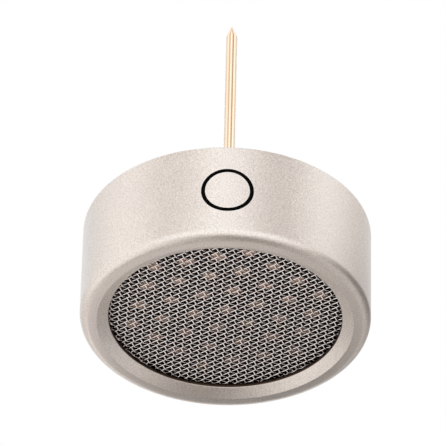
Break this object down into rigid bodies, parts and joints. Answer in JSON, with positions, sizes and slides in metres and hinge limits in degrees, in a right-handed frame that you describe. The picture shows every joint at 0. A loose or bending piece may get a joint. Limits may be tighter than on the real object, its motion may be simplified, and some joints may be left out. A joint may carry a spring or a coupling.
{
  "type": "condenser microphone capsule",
  "caption": "Round pressure microphone capsule with a woven wire grille in front, a rear thread and a long gold contact pin.",
  "frame": {"origin": "centre of the front rim's plane, which is also the plane that the capsule stands on", "axes": "+Z along the capsule's axis from the grille to the tip of the contact pin; -Y is the side with the printed ring mark"},
  "size_m": [0.02, 0.02, 0.0265],
  "materials": {
    "satin_nickel": "bead-blasted satin nickel plating on turned brass",
    "grille_wire": "drawn bright steel wire, woven",
    "dark_brass": "chemically blackened brass, nearly matte",
    "sealing_rubber": "soft black rubber",
    "bare_brass": "turned brass, fine tool marks",
    "gold_film": "thin plastic film with a sputtered gold face",
    "shim_film": "amber plastic shim",
    "damping_silk": "fine white silk cloth",
    "ivory_insulator": "turned ivory-white plastic",
    "steel_trim": "plain steel",
    "pin_gold": "gold plating, polished",
    "spring_bronze": "drawn bronze wire"
  },
  "bodies": {
    "root": {"housing": "satin_nickel", "grille_mesh": "grille_wire", "mesh_ring": "dark_brass", "front_plate": "dark_brass", "front_gasket": "sealing_rubber", "tension_ring": "bare_brass", "diaphragm": "gold_film", "film_spacer": "shim_film", "backplate": "bare_brass", "damping_cloth": "damping_silk", "backplate_holder": "ivory_insulator", "clamp_screws": "steel_trim", "terminal_screw": "bare_brass", "terminal_washer": "steel_trim", "seal_ring": "sealing_rubber", "rear_insulator": "ivory_insulator", "vent_plug": "bare_brass", "contact_spring": "spring_bronze", "pin_bush": "pin_gold", "pin_nut": "steel_trim", "contact_pin": "pin_gold", "spring_washer": "steel_trim", "lock_ring": "bare_brass"}
  },
  "joints": []
}
